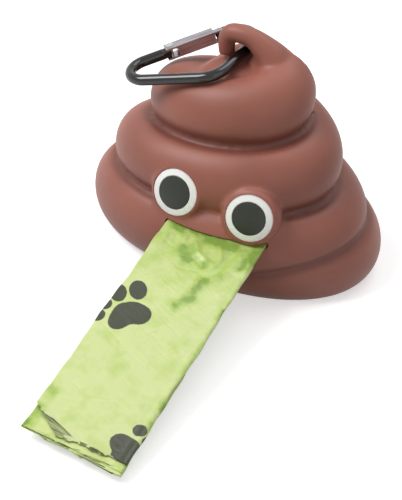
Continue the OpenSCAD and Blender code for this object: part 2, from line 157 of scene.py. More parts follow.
def rounded(corners, radius, steps=6):
    """A profile through the corners, each one rounded: the quadratic curve that starts and ends the
    given distance before and after the corner and has the corner as its control point."""
    corners = np.asarray(corners, float)
    out = [corners[0]]
    for before, corner, after in zip(corners[:-2], corners[1:-1], corners[2:]):
        a, b = before - corner, after - corner
        cut = min(radius, 0.49 * np.hypot(*a), 0.49 * np.hypot(*b))
        a, b = a / np.hypot(*a) * cut, b / np.hypot(*b) * cut
        s = np.linspace(0, 1, steps)[:, None]
        out += list(corner + (1 - s) ** 2 * a + s**2 * b)
    out.append(corners[-1])
    return np.array(out)


def turn_matrix(degrees, axis):
    """The 3 x 3 turn about axis 0, 1 or 2 by the right-hand rule."""
    c, s = np.cos(np.radians(degrees)), np.sin(np.radians(degrees))
    matrix = np.eye(3)
    a, b = [(1, 2), (2, 0), (0, 1)][axis]
    matrix[a, a], matrix[a, b], matrix[b, a], matrix[b, b] = c, -s, s, c
    return matrix


def placed(points, turn, place):
    """Points in a piece's own frame, turned and then moved to their place, in millimetres, as metres."""
    return (points @ turn.T + np.asarray(place)) * MM


print("a pupil-sized disc has", turned(rounded([[0, 0], [6, 0], [6, 1], [0, 1]], 0.4)).shape, "points")

# %% [markdown]
# ## Colours and nodes
#
# Colours are written as they look on a screen. A shader needs them linear, so one function
# converts them. One small function adds a node, its settings and its links. In a link, a node
# stands for its first output.

# %% Colour and node helpers
BLACK, QUARTER, WHITE = (0, 0, 0, 1), (0.25, 0.25, 0.25, 1), (1, 1, 1, 1)


def linear(code):
    """sRGB hex to linear: below 0.04045 a straight line, above it the power 2.4."""
    c = np.array([int(code[i:i + 2], 16) for i in (1, 3, 5)]) / 255
    c = np.where(c <= 0.04045, c / 12.92, ((c + 0.055) / 1.055) ** 2.4)
    return (*c, 1.0)


def join(source, node, socket):
    """Links an output, or a node's first output, to an input of another node."""
    if isinstance(source, bpy.types.Node):
        source = source.outputs[0]
    node.id_data.links.new(source, node.inputs[socket])


def add(tree, kind, links=(), values=(), **settings):
    """Adds a shader node of a kind. values sets inputs by name or number, links joins an output to
    an input of the new node, and any other setting is one of the node's own properties."""
    node = tree.nodes.new("ShaderNode" + kind)
    for key, value in settings.items():
        setattr(node, key, value)
    for key, value in dict(values).items():
        node.inputs[key].default_value = value
    for key, source in dict(links).items():
        join(source, node, key)
    return node


def start_material(name, **surface):
    """A material with a Principled shader, whose sockets are set by their names."""
    material = bpy.data.materials.new(name)
    material.use_nodes = True
    tree = material.node_tree
    shader = tree.nodes["Principled BSDF"]
    for key, value in surface.items():
        shader.inputs[key.replace("_", " ")].default_value = value
    return material, tree, shader


def ramp(tree, source, *stops):
    """A colour ramp from (place, linear colour) stops."""
    node = add(tree, "ValToRGB", {"Fac": source})
    elements = node.color_ramp.elements
    while len(elements) < len(stops):
        elements.new(0.5)
    for element, (place, colour) in zip(elements, stops):
        element.position = place
        element.color = colour
    return node


def mottle(tree, size_mm, detail, *stops):
    """Colour that drifts between (place, sRGB hex) stops, by noise with patches size_mm across."""
    place = add(tree, "TexCoord").outputs["Object"]
    clouds = add(tree, "TexNoise", {"Vector": place}, {"Scale": 1 / (size_mm * MM), "Detail": detail})
    return ramp(tree, clouds, *[(at, linear(code)) for at, code in stops])


def grain_bump(tree, shader, size_mm, depth_mm, detail=4, strength=0.6):
    """Bump from noise whose lumps are size_mm across and depth_mm high."""
    place = add(tree, "TexCoord").outputs["Object"]
    noise = add(tree, "TexNoise", {"Vector": place},
                {"Scale": 1 / (size_mm * MM), "Detail": detail, "Roughness": 0.6})
    bump = add(tree, "Bump", {"Height": noise}, {"Strength": strength, "Distance": depth_mm * MM})
    join(bump, shader, "Normal")


print("mid grey is", round(linear("#808080")[0], 3), "linear")


# %% [markdown]
# ## Vinyl of the body
#
# The body is slush-moulded soft vinyl: thin, slightly yielding and matt, with a reddish brown
# colour that drifts a little from place to place. Light enters it by about a millimetre, which
# warms the thin edges. Its roughness is high, with a faint satin sheen on the rounds. The creases
# are painted a little darker, as painted shade; the "crease" attribute says where.

# %% Slush-moulded soft vinyl
# Painted shade: the grey that the vinyl's colour is multiplied by, deepest in a crease
CREASE_PAINTED_SHADE = (0.5, 0.42, 0.4, 1)
vinyl, tree, shader = start_material("slush_moulded_vinyl", Roughness=0.5, IOR=1.5, Subsurface_Weight=0.12,
                                     Subsurface_Scale=1.2 * MM, Sheen_Weight=0.04, Sheen_Roughness=0.5,
                                     Subsurface_Radius=(1.0, 0.45, 0.3))
drift = mottle(tree, 30, 3, (0.3, "#8a5042"), (0.5, "#955849"), (0.72, "#9e604f"))
crease = add(tree, "Attribute", attribute_name="crease").outputs["Fac"]
crease_shade_ramp = ramp(tree, crease, (0.0, WHITE), (1.0, CREASE_PAINTED_SHADE))
dark = add(tree, "VectorMath", {0: drift, 1: crease_shade_ramp}, operation="MULTIPLY")
join(dark, shader, "Base Color")
grain_bump(tree, shader, 0.5, 0.03, strength=0.35)
print("vinyl nodes:", len(tree.nodes))

# %% [markdown]
# ## The coiled body
#
# The real body looks like a soft tube wound round an upright axis: each turn lies on the one below
# and is pressed into it. Its outer radius and its height change along the way. The knots below
# give both at every quarter turn, and a Catmull-Rom curve joins them. The same numbers drive the
# CAD model, so the two fit.

# %% The coil's numbers
# Outer radius of the coil and height of its tube's middle, in mm, at every quarter turn
TIER_OUT = [44, 49, 57.5, 60, 56, 51.5, 51, 50.5, 48, 44, 39, 37, 34.8, 30.5, 27]
TIER_Z = [11.5, 11, 10.3, 9.5, 12.5, 18.5, 22, 26.8, 32, 38.8, 46, 50.3, 54, 60.5, 68.5]
# The tube's radius and its height against its width; the body's depth against its width
COIL_R, COIL_TALL, DEPTH_RATIO = 14.0, 1.06, 0.76
# Sideways drift per height, the plan angle where the turns are counted from, and where they run
LEAN_X, LEAN_Y, COIL_TURN = -0.0725, -0.007, 19.0
FIRST_TURN, LAST_TURN, KNOT_STEP = -0.5, 3.0, 0.25


def smooth(values, s):
    """Catmull-Rom: between the values b and c, at the fraction f, half of
    2b + (c - a) f + (2a - 5b + 4c - d) f^2 + (3b - a - 3c + d) f^3."""
    values = np.asarray(values, float)
    i = np.clip(np.floor(s).astype(int), 0, len(values) - 1)
    f = (s - i).reshape(s.shape + (1,) * (values.ndim - 1))
    a, b, c, d = (values[np.clip(i + k, 0, len(values) - 1)] for k in (-1, 0, 1, 2))
    return 0.5 * (2 * b + (c - a) * f + (2 * a - 5 * b + 4 * c - d) * f**2 + (3 * b - a - 3 * c + d) * f**3)


def body_points(radius, angle, z):
    """A point of the body from its round plan: x is radius cos, y is the depth ratio times radius
    sin, and both lean with the height."""
    return np.stack([radius * np.cos(angle) + LEAN_X * z, DEPTH_RATIO * radius * np.sin(angle) + LEAN_Y * z,
                     z + 0 * radius], -1) * MM


# %% The tube of the coil
def coil_rows(rows=260, steps=56):
    """Row t is a ring about the coil's middle line: radius out - r + r cos a, height z + k r sin a,
    at the plan angle of t turns."""
    t = np.linspace(FIRST_TURN, LAST_TURN, rows)[:, None]
    a = np.linspace(0, 2 * np.pi, steps, endpoint=False)[None]
    knot = (t - FIRST_TURN) / KNOT_STEP
    radius = smooth(TIER_OUT, knot) - COIL_R + COIL_R * np.cos(a)
    z = smooth(TIER_Z, knot) + COIL_TALL * COIL_R * np.sin(a)
    return body_points(radius, np.radians(COIL_TURN + 360 * t) + 0 * a, z)


def oval_rows(levels, steps=72, rows=40):
    """A stack of ovals through the (height, plan radius) levels, joined by straight lines."""
    levels = np.array(levels, float)
    z = np.linspace(levels[0, 0], levels[-1, 0], rows)[:, None]
    radius = np.interp(z, levels[:, 0], levels[:, 1])
    a = np.linspace(0, 2 * np.pi, steps, endpoint=False)[None]
    return body_points(radius + 0 * a, a + 0 * z, z + 0 * a)


def ball_rows(centre, radius, steps=48):
    """A ball: a half circle, open just short of its poles, turned about its own upright axis."""
    pole = 0.498 * np.pi
    a = np.linspace(-pole, pole, steps // 2)
    profile = np.stack([radius * np.cos(a), radius * np.sin(a)], -1)
    return placed(turned(profile, steps), np.eye(3), centre)


# What fills the coil: (height, plan radius) of an oval stack, and two balls, each place and radius
FILLER = [(1, 36), (10, 38), (20, 37), (30, 34), (38, 30), (46, 25), (54, 20), (62, 13)]
CORE_TOP, CORE_TOP_R = (-6, 0, 56.5), 19.5
CROWN, CROWN_R = (-4.5, 7, 61), 17
print("coil grid:", coil_rows().shape)

# %% [markdown]
# The top of the coil runs out into a curl: a tapering tube that rises, bends over and comes down
# with its tip on the crown. The gap under it is the loop that the clip hangs in. The tube is a
# circle carried along a smooth path, square to the path's direction.

# %% The curl
CURL_PATH = [(7.2, 2.6, 68.5), (6.2, 2, 73.5), (3.6, 0.8, 79.9), (-2.8, 0, 84.7),
             (-8.2, -0.5, 85.7), (-12.0, -0.5, 84.9), (-13.4, -0.5, 82), (-12.6, -0.5, 76.5)]
CURL_R = [14, 10.8, 6.2, 3.9, 3.5, 3.4, 3.2, 3]


def curl_rows(rows=90, steps=40):
    """Row s is a circle of the local radius about the path, in the plane square to its direction."""
    s = np.linspace(0, len(CURL_PATH) - 1, rows)
    middle, radius = smooth(CURL_PATH, s), smooth(CURL_R, s)
    along = smooth(CURL_PATH, s + 0.02) - smooth(CURL_PATH, s - 0.02)
    along /= np.linalg.norm(along, axis=1)[:, None]
    side = np.stack([-along[:, 2], 0 * s, along[:, 0]], -1)
    side /= np.linalg.norm(side, axis=1)[:, None]
    across = np.cross(along, side)
    a = np.linspace(0, 2 * np.pi, steps, endpoint=False)[None, :, None]
    ring = radius[:, None, None] * (np.cos(a) * side[:, None] + np.sin(a) * across[:, None])
    return (middle[:, None] + ring) * MM


# %% [markdown]
# Each eye sits in a soft raised rim of the body. A rim is a turned piece with a rounded edge, at
# the eye's own place and tilt.

# %% Eye places and rims
FACE_X, EYE_GAP, EYE_Y, EYE_Z = 2.0, 14.5, 34.8, 35.5
EYE_R, EYE_RIM, EYE_UP, EYE_OUT = 8.8, 1.7, 15.0, 6.0
RIM_DEEP, RIM_ROUND = 13, 2.2
# Turned profiles start and end this far off their axis
NEAR_AXIS = 0.05


def eye_frame(side):
    """The turn and place of an eye, whose own z axis looks out of the face."""
    turn = turn_matrix(side * EYE_OUT, 2) @ turn_matrix(90 - EYE_UP, 0)
    return turn, (FACE_X + side * EYE_GAP, -EYE_Y, EYE_Z)


rim_r = EYE_R + EYE_RIM
rim_profile = rounded([[NEAR_AXIS, -RIM_DEEP], [rim_r, -RIM_DEEP], [rim_r, 0], [NEAR_AXIS, 0]], RIM_ROUND)
rims = [placed(turned(rim_profile), *eye_frame(side)) for side in (-1, 1)]
print("eye rims:", len(rims), "of radius", rim_r, "mm")

# %% [markdown]
# These pieces overlap, as the real body's forms run into each other. A voxel Remesh makes them one
# closed skin, and a few rounds of Smooth take out its steps. Smoothing also fills the creases
# between the turns, so they are pressed in again: where a point is as far from one turn as from
# the next, it moves inwards. What is left below the standing plane is pressed flat onto it.

# %% Join the forms into one soft skin
def with_modifiers(mesh, name, *steps):
    """The mesh after the given (kind, settings) modifiers, as a new mesh."""
    piece = link_piece(name, mesh)
    for kind, settings in steps:
        modifier = piece.modifiers.new(kind.lower(), kind)
        for key, value in settings.items():
            setattr(modifier, key, value)
    done = bpy.data.meshes.new_from_object(piece.evaluated_get(bpy.context.evaluated_depsgraph_get()))
    bpy.data.objects.remove(piece)
    return done


def mesh_points(mesh):
    """The mesh's points as an array of shape (count, 3)."""
    points = np.empty(3 * len(mesh.vertices))
    mesh.vertices.foreach_get("co", points)
    return points.reshape(-1, 3)


def crease_share(points, width):
    """How deep in a crease each point lies, 0 to 1. In the plane through the axis a turn is a
    circle, so d = distance to its middle - its radius. With the two least values d1 and d2 and the
    unit vectors n1 and n2 away from their middles, (d2 - d1) / |n2 - n1| is the way to the crease,
    and the share is a bell curve of it. It fades off the coil's own skin (d1 = 0), where another
    form covers it, and in an oval between the eyes, where the face is smooth."""
    x, y, z = points.T / MM
    face = np.sqrt(((x - FACE_X) / FACE_W) ** 2 + ((y + EYE_Y) / FACE_D) ** 2 + ((z - EYE_Z) / FACE_H) ** 2)
    x, y = x - LEAN_X * z, (y - LEAN_Y * z) / DEPTH_RATIO
    turn = (np.degrees(np.arctan2(y, x)) - COIL_TURN) / 360
    t = turn[:, None] + np.arange(-1, np.ceil(LAST_TURN) + 2)
    knot = (np.clip(t, FIRST_TURN, LAST_TURN) - FIRST_TURN) / KNOT_STEP
    out = np.hypot(x, y)[:, None] - smooth(TIER_OUT, knot) + COIL_R
    high = (z[:, None] - smooth(TIER_Z, knot)) / COIL_TALL
    far = np.hypot(out, high)
    d = np.where((t >= FIRST_TURN) & (t <= LAST_TURN), far - COIL_R, FAR_OFF)
    order = np.argsort(d, axis=1)[:, :2]
    (d1, d2), (o1, o2), (h1, h2) = (np.take_along_axis(v, order, 1).T for v in (d, out / far, high / far))
    way = (d2 - d1) / np.maximum(np.hypot(o2 - o1, h2 - h1), 0.3)
    # Full up to 0.7 mm off the coil's skin, none from 3.1 mm on
    bare = np.clip(1.3 - np.abs(d1) / 2.4, 0, 1)
    # A little of it in the face's oval, all from 1.2 times its size on
    off_face = np.clip(2.5 * face - 2, 0.15, 1)
    return np.exp(-(way / width) ** 2) * bare * off_face


# Half sizes of the face's oval, and a distance in mm that stands for no turn at all
FACE_W, FACE_D, FACE_H, FAR_OFF = 17, 22, 14, 99
VOXEL_MM, SMOOTH_ROUNDS, CREASE_DEEP, CREASE_WIDE = 0.7, 8, 1.0, 2.1
forms = skin("body_forms", coil_rows(), oval_rows(FILLER), ball_rows(CORE_TOP, CORE_TOP_R),
             ball_rows(CROWN, CROWN_R), curl_rows(), *rims)
body = with_modifiers(forms, "body_forms", ("REMESH", {"mode": "VOXEL", "voxel_size": VOXEL_MM * MM}),
                      ("SMOOTH", {"factor": 0.5, "iterations": SMOOTH_ROUNDS}))
points = mesh_points(body)
normals = np.empty(points.size)
body.vertices.foreach_get("normal", normals)
share = crease_share(points, CREASE_WIDE)
points -= CREASE_DEEP * MM * share[:, None] * normals.reshape(-1, 3)
points[:, 2] = np.maximum(points[:, 2], 0)
body.vertices.foreach_set("co", points.ravel())
print("body skin:", len(body.polygons), "faces, from", points.min(0), "to", points.max(0))

# %% [markdown]
# The real body is hollow, with a round opening below for the bag roll, a slot in front and a
# shallow seat for each eye. These are cut after the smoothing, so their edges stay crisp.

# %% Cutters
# The bottom opening from below: a mouth, a lip, and the seat of the ring. BELOW cuts clear of z = 0
MOUTH_R, MOUTH_TOP, LIP_R, LIP_TOP, SEAT_R, SEAT_TOP, BELOW = 35.5, 1.4, 34.24, 3.5, 36.75, 11.5, -1
BASE_X, BASE_Y = 5.0, 5.0
seat_profile = np.array([[NEAR_AXIS, BELOW], [MOUTH_R, BELOW], [MOUTH_R, MOUTH_TOP], [LIP_R, MOUTH_TOP],
                         [LIP_R, LIP_TOP], [SEAT_R, LIP_TOP], [SEAT_R, SEAT_TOP], [NEAR_AXIS, SEAT_TOP]])
# The hollow above it: (height, plan radius) of an oval stack
HOLLOW = [(LIP_TOP, 43), (20, 43), (30, 40), (38, 35), (46, 30), (54, 25), (62, 18)]
SLOT_AT, SLOT_SLOPE, SLOT_W = (5.3, -38.0, 24.6), 10.8, 38.2
SLOT_LOW, SLOT_HIGH, SLOT_REACH = -1.5, 0.75, 17
slot_turn = turn_matrix(SLOT_SLOPE, 0)


def slot_rows(steps=32):
    """A flat bar with round edges in the slot's own frame: its outline carried along y."""
    a = np.linspace(0, 2 * np.pi, steps, endpoint=False)
    r = (SLOT_HIGH - SLOT_LOW) / 2
    x = r * np.cos(a) + np.sign(np.cos(a) + 1e-9) * (SLOT_W / 2 - r)
    z = (SLOT_HIGH + SLOT_LOW) / 2 + r * np.sin(a)
    y = np.array([[-SLOT_REACH], [SLOT_REACH]])
    rows = np.stack([x + 0 * y, y + 0 * x, z + 0 * y], -1)
    return placed(rows, slot_turn, SLOT_AT)


cutters = [oval_rows(HOLLOW), placed(turned(seat_profile, 128), np.eye(3), (BASE_X, BASE_Y, 0)), slot_rows()]
SOCKET_R, SOCKET_DEEP, SOCKET_OUT = EYE_R + 0.05, 1.72, 6
socket_profile = np.array([[NEAR_AXIS, -SOCKET_DEEP], [SOCKET_R, -SOCKET_DEEP], [SOCKET_R, SOCKET_OUT],
                           [NEAR_AXIS, SOCKET_OUT]])
cutters += [placed(turned(socket_profile), *eye_frame(side)) for side in (-1, 1)]
print("cutters:", len(cutters))

# %% Cut the openings
cutter_pieces = [link_piece(f"body_cutter_{k}", skin("body_cutter", rows)) for k, rows in enumerate(cutters)]
body = with_modifiers(body, "body_cut", *[
    ("BOOLEAN", {"object": piece, "operation": "DIFFERENCE", "solver": "MANIFOLD"})
    for piece in cutter_pieces])
for piece in cutter_pieces:
    bpy.data.objects.remove(piece)
body.set_sharp_from_angle(angle=np.radians(42))
# Painted shade: how deep each point lies in a crease, which darkens the vinyl's colour there
shade = crease_share(mesh_points(body), 1.2 * CREASE_WIDE)
body.attributes.new("crease", "FLOAT", "POINT").data.foreach_set("value", shade.astype(np.float32))
shell = link_piece("shell_skin", body)
body.materials.clear()
body.materials.append(vinyl)
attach(shell, "body")
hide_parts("shell")
print("shell:", len(body.polygons), "faces")

# %% [markdown]
# ## The eyes
#
# Each eye is a white disc with a dark disc set in it, both moulded in hard plastic and pressed
# into the seat. Their edges are slightly round, which catches a thin line of light.

# %% Moulded white plastic and dark plastic
white_plastic, tree, shader = start_material("moulded_white_plastic", Roughness=0.38, IOR=1.49,
                                             Base_Color=linear("#fbfaf7"), Subsurface_Weight=0.1,
                                             Subsurface_Scale=1 * MM)
grain_bump(tree, shader, 1.2, 0.01)
dark_plastic, tree, shader = start_material("moulded_dark_plastic", Roughness=0.42, IOR=1.49)
join(mottle(tree, 5, 2, (0.3, "#141a10"), (0.7, "#1e2618")), shader, "Base Color")
grain_bump(tree, shader, 0.8, 0.01)
print("plastics:", white_plastic.name, dark_plastic.name)

# %% Eye discs
PUPIL_R, EYE_T, EYE_SINK, DOME_R = 6.1, 2.6, 1.7, 30.0
PUPIL_GAP, PUPIL_DEEP, PUPIL_PROUD, PUPIL_EDGE = 0.12, 1.0, 0.1, 0.6
top_z = EYE_T - EYE_SINK
pupil_top = top_z + PUPIL_PROUD
seat_z = top_z - PUPIL_DEEP
hole_r = PUPIL_R + PUPIL_GAP
floor_z = seat_z + 0.02


def dome(radius, top):
    """Height of a shallow ball cap of the dome radius whose highest point is at top."""
    return top - DOME_R + np.sqrt(DOME_R**2 - np.asarray(radius, float) ** 2)


white_profile = rounded([[NEAR_AXIS, -EYE_SINK], [EYE_R, -EYE_SINK], [EYE_R, dome(EYE_R, top_z)],
                         [hole_r, dome(PUPIL_R, top_z)], [hole_r, seat_z], [NEAR_AXIS, seat_z]], 0.45)
edge_r = PUPIL_R - PUPIL_EDGE
pupil_edge = rounded([[NEAR_AXIS, floor_z], [PUPIL_R, floor_z], [PUPIL_R, dome(PUPIL_R, pupil_top)],
                      [edge_r, dome(edge_r, pupil_top)]], 0.3)
radii = np.linspace(PUPIL_R - 0.35, NEAR_AXIS, 8)
pupil_profile = np.vstack([pupil_edge[:-1], np.stack([radii, dome(radii, pupil_top)], -1)])
for side, word in ((-1, "left"), (1, "right")):
    for part, profile, material, slot in (("eye_white", white_profile, white_plastic, "eye_white"),
                                          ("pupil", pupil_profile, dark_plastic, "pupil_dark")):
        disc = link_piece(f"{part}_{word}_disc", skin(part, placed(turned(profile), *eye_frame(side))))
        disc.data.set_sharp_from_angle(angle=np.radians(50))
        disc.data.materials.append(material)
        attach(disc, "body")
        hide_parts(f"{part}_{word}")
print("eyes: 2 whites, 2 pupils")

# %% [markdown]
# ## The folded bag
#
# The bag is thin film, folded lengthwise to a strip and pulled out through the slot. Close to the
# slot it is squeezed into pleats. Further out it is nearly flat, with fine creases from the
# packing. It ends where it was torn off: the plies end at slightly different, ragged lines. The
# strip is a height field over its own plane: x across, y along, and small heights that add up
# from pleats, creases and the rolled edge.

# %% Plane of the bag and its outline
STRIP_W, STRIP_LEN = 37.0, 104.0
# Inside the body the strip widens from 36 mm behind the slot to the roll
TAIL_FROM, TAIL_TO, TAIL_W = 36.0, 42.8, 50.0
random = np.random.default_rng(7)


def ragged(x, seed, depth):
    """A torn line across the strip: a few slow waves and many small ones, from a fixed seed."""
    r = np.random.default_rng(seed)
    out = 0 * x
    for waves, share in ((3, 0.5), (9, 0.25), (23, 0.16), (47, 0.1)):
        out += share * np.sin(2 * np.pi * (waves * x / STRIP_W + r.random()))
    return depth * out


# %% Heights of the film
# Small creases: place, direction, height, and half of their length and width. Most lie one way
CREASES_N, MOST = 90, 0.75
crease_x = random.uniform(-0.5, 0.5, CREASES_N) * STRIP_W
crease_at = np.stack([crease_x, random.uniform(-STRIP_LEN, 0, CREASES_N)], -1)
crease_turn = np.radians(np.where(random.random(CREASES_N) < MOST, random.normal(-27, 7, CREASES_N),
                                  random.normal(50, 25, CREASES_N)))
crease_high = random.uniform(0.05, 0.17, CREASES_N) * random.choice([-1, 1], CREASES_N)
crease_long = random.uniform(2.5, 9, CREASES_N)
crease_wide = random.uniform(0.3, 0.8, CREASES_N)
# The larger folds by the slot: two ends of each crest, its height and how far its flanks reach
FOLDS = [(-6.2, -1.5, -1.0, -9.5, 0.95, 2.2), (-1.0, -9.5, 5.6, -12.6, 0.8, 1.3),
         (-8.6, -5.5, -7.2, -14.0, 0.5, 1.4), (3.5, -1.5, 7.6, -9.0, 0.7, 1.7),
         (7.6, -9.0, 6.0, -16.5, 0.55, 1.5), (-5.5, -18.2, 1.5, -17.2, -0.45, 1.0),
         (12.6, -2.0, 11.4, -14.5, 0.6, 1.9), (11.4, -14.5, 5.0, -22.5, 0.55, 1.3),
         (5.0, -22.5, 1.8, -34.5, 0.4, 1.3), (9.5, -21.0, 7.2, -33.0, -0.35, 1.5),
         (-14.5, -1.0, -15.5, -10.0, 0.35, 1.4), (-12.5, -13.0, -9.5, -21.5, -0.3, 1.3),
         (16.0, -1.0, 17.0, -11.0, 0.4, 1.5), (-4.0, -21.5, 1.5, -27.0, 0.22, 0.9),
         (-1.6, -36.5, 5.8, -40.5, -0.25, 1.1)]


def way_to(x, y, x0, y0, x1, y1):
    """Distance from (x, y) to the straight line between two points: the foot of the perpendicular,
    kept between the two ends."""
    dx, dy = x1 - x0, y1 - y0
    f = np.clip(((x - x0) * dx + (y - y0) * dy) / (dx**2 + dy**2), 0, 1)
    return np.hypot(x - x0 - f * dx, y - y0 - f * dy)


def pleat(u):
    """A rounded triangle wave between -0.82 and 0.82, which leaves the flanks of a pleat flat."""
    return 0.64 * np.arcsin(0.96 * np.sin(u))


def film_height(x, y):
    """The sum of three widths of pleats that fan out of the slot and fade after about 20 mm, of
    folds with a sharp crest (h exp(-distance / reach)), of small straight creases (a Gaussian
    across, a longer one along), and of slow waves."""
    near = np.exp(-np.clip(-y - 1, 0, None) / 11) * np.clip((-y) / 4, 0, 1)
    fan = x * (1 + 0.0045 * y) + 2.2 * np.sin(y / 7.0)
    out = near * (0.42 * pleat(fan * 0.55 + 0.5) + 0.3 * pleat(fan * 1.2 - y * 0.16 + 1.1)
                  + 0.14 * pleat(fan * 2.4 + y * 0.3))
    for x0, y0, x1, y1, high, wide in FOLDS:
        d = way_to(x, y, x0, y0, x1, y1)
        out += high * np.exp(-(np.sqrt(d**2 + 0.04) - 0.2) / wide) * np.clip(-y / 5, 0, 1)
    for (cx, cy), turn, high, long, wide in zip(crease_at, crease_turn, crease_high, crease_long,
                                                crease_wide):
        along = (x - cx) * np.cos(turn) + (y - cy) * np.sin(turn)
        across = -(x - cx) * np.sin(turn) + (y - cy) * np.cos(turn)
        out += high * np.exp(-(across / wide) ** 2 - (along / long) ** 2)
    return out + 0.25 * np.sin(y / 13.0 + x / 21.0) + 0.1 * np.sin(y / 5.1 - x / 6.0)


print("folds:", len(FOLDS), "and small creases:", CREASES_N)

# %% [markdown]
# The print on the film is a generic paw: a pad and toes. Its ink is stored on the points as a
# signed distance in millimetres to the print's edge, so that the shader can draw a sharp edge.
# Where several plies lie clinging together the film looks deeper in colour, and a second value on
# the points says where that is. Along the slot and at the curled left corner that value also darkens
# the film as painted shade.

# %% Print on the film
def blob(x, y, cx, cy, rx, ry, turn=0):
    """Nearly the signed distance to an ellipse: (length in the ellipse's own scale - 1) times its
    mean radius."""
    c, s = np.cos(np.radians(turn)), np.sin(np.radians(turn))
    u, v = (x - cx) * c + (y - cy) * s, -(x - cx) * s + (y - cy) * c
    return (np.sqrt((u / rx) ** 2 + (v / ry) ** 2) - 1) * (rx + ry) / 2


# Ellipses in mm: middle, two radii and for a turned one its angle. Each pad is a list of lobes
TOES = [(-12.0, -34.4, 3.1, 4.5, 27), (-17.4, -38.6, 2.9, 4.2, 27), (-18.5, -45.2, 1.9, 2.4),
        (-18.5, -50.7, 2.1, 2.7), (16.0, -87.6, 2.35, 2.35), (20.0, -90.1, 1.8, 2.1)]
PADS = [[(-11.4, -49.7, 3.5, 4.3), (-10.6, -45.6, 4.7, 4.9), (-8.6, -43.6, 3.6, 4.0),
         (-5.7, -44.4, 3.3, 4.2)],
        [(12.4, -94.3, 3.2, 3.2), (15.8, -96.2, 4.4, 4.8), (16.5, -101.5, 4.2, 4.0)]]
# Lobes start to run into each other at this difference of their distances
PAD_JOIN = 2.2


def ink_distance(x, y):
    """The least of the toes' and the pads' distances. A pad's lobes run into each other: two
    distances a and b join to the smaller one, less k h (1 - h), where h says how near they are."""
    out = np.full(x.shape, float(FAR_OFF))
    for toe in TOES:
        out = np.minimum(out, blob(x, y, *toe))
    for lobes in PADS:
        pad = np.full(x.shape, float(FAR_OFF))
        for lobe in lobes:
            d = blob(x, y, *lobe)
            h = np.clip(0.5 + 0.5 * (pad - d) / PAD_JOIN, 0, 1)
            pad = pad * (1 - h) + d * h - PAD_JOIN * h * (1 - h)
        out = np.minimum(out, pad)
    return out


# Lines where plies lie clinging together, with the reach of each. The line along the slot and the
# line at the curled left corner also stand for painted shade
CLING_AND_SHADE_LINES = [(-6.0, -8.5, -3.5, -13.0, 4.6), (-3.0, -13.5, 2.5, -13.0, 4.0), (10.5, -17.5, 5.0, -22.0, 3.8),
          (5.0, -23.0, 5.5, -29.0, 3.8), (5.5, -29.0, 2.0, -36.0, 4.0), (-14.0, -0.5, 18.0, -0.5, 4.5),
          (17.0, -2.0, 15.5, -10.0, 3.4), (18.3, -30.0, 18.3, -100.0, 2.4),
          (-17.5, -86.0, -17.5, -100.0, 4.5)]


def cling_and_shade(x, y):
    """1 on a line where plies lie clinging together, which by the slot and at the curled corner also
    stands for painted shade, and 0 beyond its reach r: 1 - 3 (d / r)^2 + 2 (d / r)^3.
    """
    out = 0 * x
    for x0, y0, x1, y1, reach in CLING_AND_SHADE_LINES:
        share = np.clip(way_to(x, y, x0, y0, x1, y1) / reach, 0, 1)
        out = np.maximum(out, 1 - 3 * share**2 + 2 * share**3)
    return out


print("print:", len(PADS), "paws with", len(TOES), "toes")

# %% One ply of the folded film
def strip_ply(name, half_width, end, slant, z_top, thick, seed, step=0.36, corner=0.0, from_y=TAIL_TO):
    """A thin closed slab: each row runs across the strip and back below it, and the rows follow each
    other along it. The outline narrows from the roll to the slot. The outer end is a ragged,
    slanting line, and corner says how far it draws back, and curls up, at the left edge."""
    rows, columns = int((end + from_y) / step), int(2 * half_width / step)
    s = np.linspace(-1, 1, columns)[None]
    t = np.linspace(0, 1, rows)[:, None]
    drawn = np.clip((-6.5 - s * half_width) / (half_width - 6.5), 0, 1)
    tip = -end + slant * s * half_width + ragged(s * half_width, seed, 0.8) + corner * drawn**1.3
    y = from_y + (tip - from_y) * t
    wide = np.interp(y, [TAIL_FROM, TAIL_TO], [half_width, half_width + (TAIL_W - STRIP_W) / 2])
    wide = wide + np.where(y < -6, 0.22 * np.sin(y / 6.3 + seed) + 0.12 * np.sin(y / 2.1), 0)
    x = s * wide
    inside = np.clip((-y - 0.5) / 5, 0, 1)
    # A lengthwise fold lies near the right edge, and the film rolls over beyond it
    fold = -0.28 * np.exp(-(np.abs(x - 15.4) / 0.9) ** 1.4) - 0.5 * np.clip((x - 16.6) / 1.9, 0, 1) ** 2
    curl = (0.25 + 0.5 * (corner > 0) * drawn) * np.exp(-np.clip(y - tip, 0, None) / 2.2)
    z = z_top + inside * (film_height(x, y) + fold + curl * (0.7 + 0.3 * np.sin(x / 1.7 + seed)))
    half = thick / 2 * np.sqrt(np.clip(1 - np.abs(s) ** 24, 0.02, 1)) + 0 * y
    loop_x = np.concatenate([x, x[:, ::-1]], 1)
    loop_y = np.concatenate([y, y[:, ::-1]], 1)
    loop_z = np.concatenate([z - thick / 2 + half, (z - thick / 2 - half)[:, ::-1]], 1)
    mesh = skin(name, placed(np.stack([loop_x, loop_y, loop_z], -1), slot_turn, SLOT_AT))
    ends = [[a[row].mean() for a in (loop_x, loop_y)] for row in (0, -1)]
    xs, ys = (np.append(loop, [middle[k] for middle in ends]) for k, loop in enumerate((loop_x, loop_y)))
    for key, values in (("ink", ink_distance(xs, ys)), ("cling_and_shade", cling_and_shade(xs, ys)),
                        ("across_mm", xs), ("along_mm", -ys)):
        mesh.attributes.new(key, "FLOAT", "POINT").data.foreach_set("value", values.astype(np.float32))
    return link_piece(name, mesh)


# %% [markdown]
# The film is blown high-density polyethylene, pale yellow-green, milky and satin. Where plies lie
# clinging together, as by the slot, it looks deeper in colour, and elsewhere paler; by the slot and
# at the curled corner that deeper colour is also painted shade. The ink is a soft charcoal, and its
# edge is a little rough.

# %% Polyethylene bag film
# Patches of colour, speckles of the ink's edge and packing creases, in mm, and the creases' angle
CLOUD_MM, SPECKLE_MM, LINE_MM, LINE_TURN = 8, 0.9, 1.25, np.radians(27)


